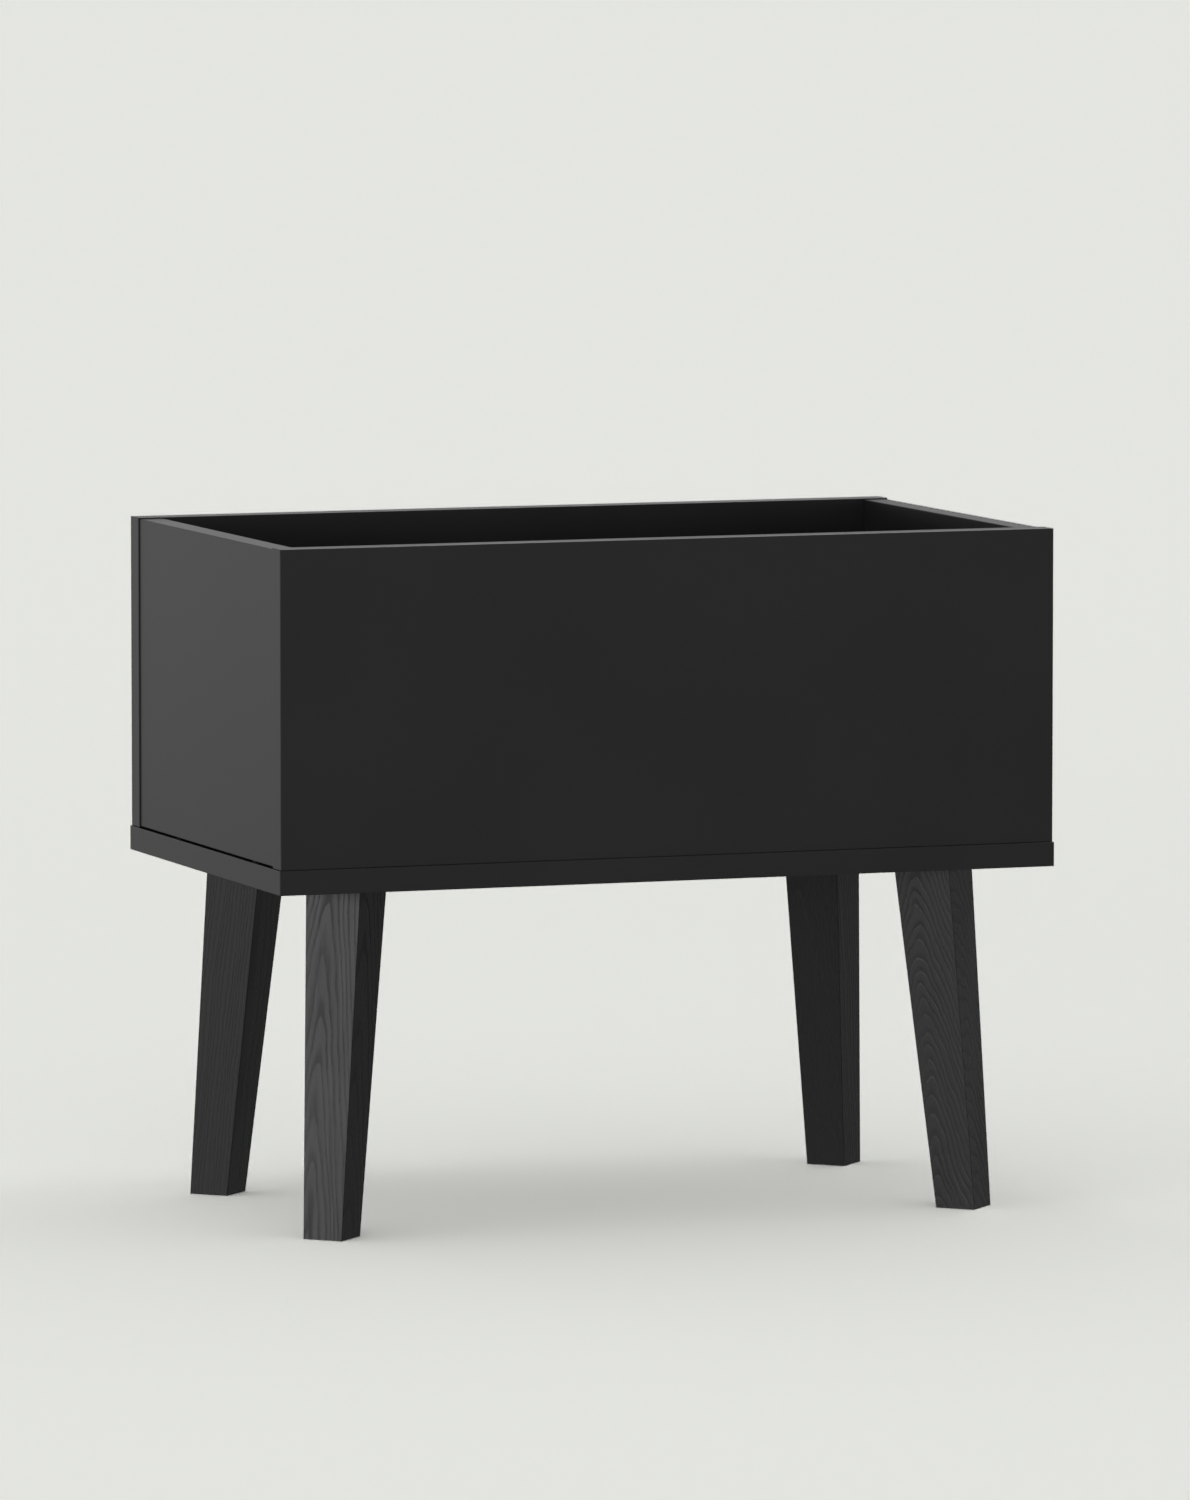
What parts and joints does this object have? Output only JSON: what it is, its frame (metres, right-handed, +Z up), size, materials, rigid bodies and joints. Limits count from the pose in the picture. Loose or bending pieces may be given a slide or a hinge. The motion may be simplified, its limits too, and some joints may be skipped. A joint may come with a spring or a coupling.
{
  "type": "raised planter on legs",
  "caption": "Rectangular planter box of black boards with a lift-out liner, raised on tapered legs that splay outward.",
  "frame": {"origin": "on the floor under the centre of the planter", "axes": "+X along the length to the right as seen from the front, the front faces -Y, +Z up"},
  "size_m": [0.6, 0.35, 0.504],
  "materials": {
    "black_board": "furniture board with a smooth matt black surface on faces and edges",
    "stained_ash": "solid ash, stained black, open grain, matt",
    "zinc_steel": "zinc-plated steel",
    "cast_zinc": null,
    "beech": "bare beech dowel",
    "liner_plastic": "moulded black polypropylene, fine matt texture"
  },
  "bodies": {
    "frame": {"base_plate": "black_board", "front_panel": "black_board", "back_panel": "black_board", "left_side_panel": "black_board", "right_side_panel": "black_board", "leg_front_left": "stained_ash", "leg_front_right": "stained_ash", "leg_rear_left": "stained_ash", "leg_rear_right": "stained_ash", "leg_bolts": "zinc_steel", "leg_bolt_washers": "zinc_steel", "leg_threaded_inserts": "zinc_steel", "leg_dowels": "beech", "corner_dowels": "beech", "corner_cam_locks": "cast_zinc", "corner_cam_bolts": "zinc_steel", "base_screws": "zinc_steel"},
    "liner": {"liner": "liner_plastic"}
  },
  "joints": [
    {"name": "liner_lift", "type": "slide", "parent": "frame", "child": "liner", "axis": [0, 0, 1], "range_m": [0, 0.26]}
  ]
}
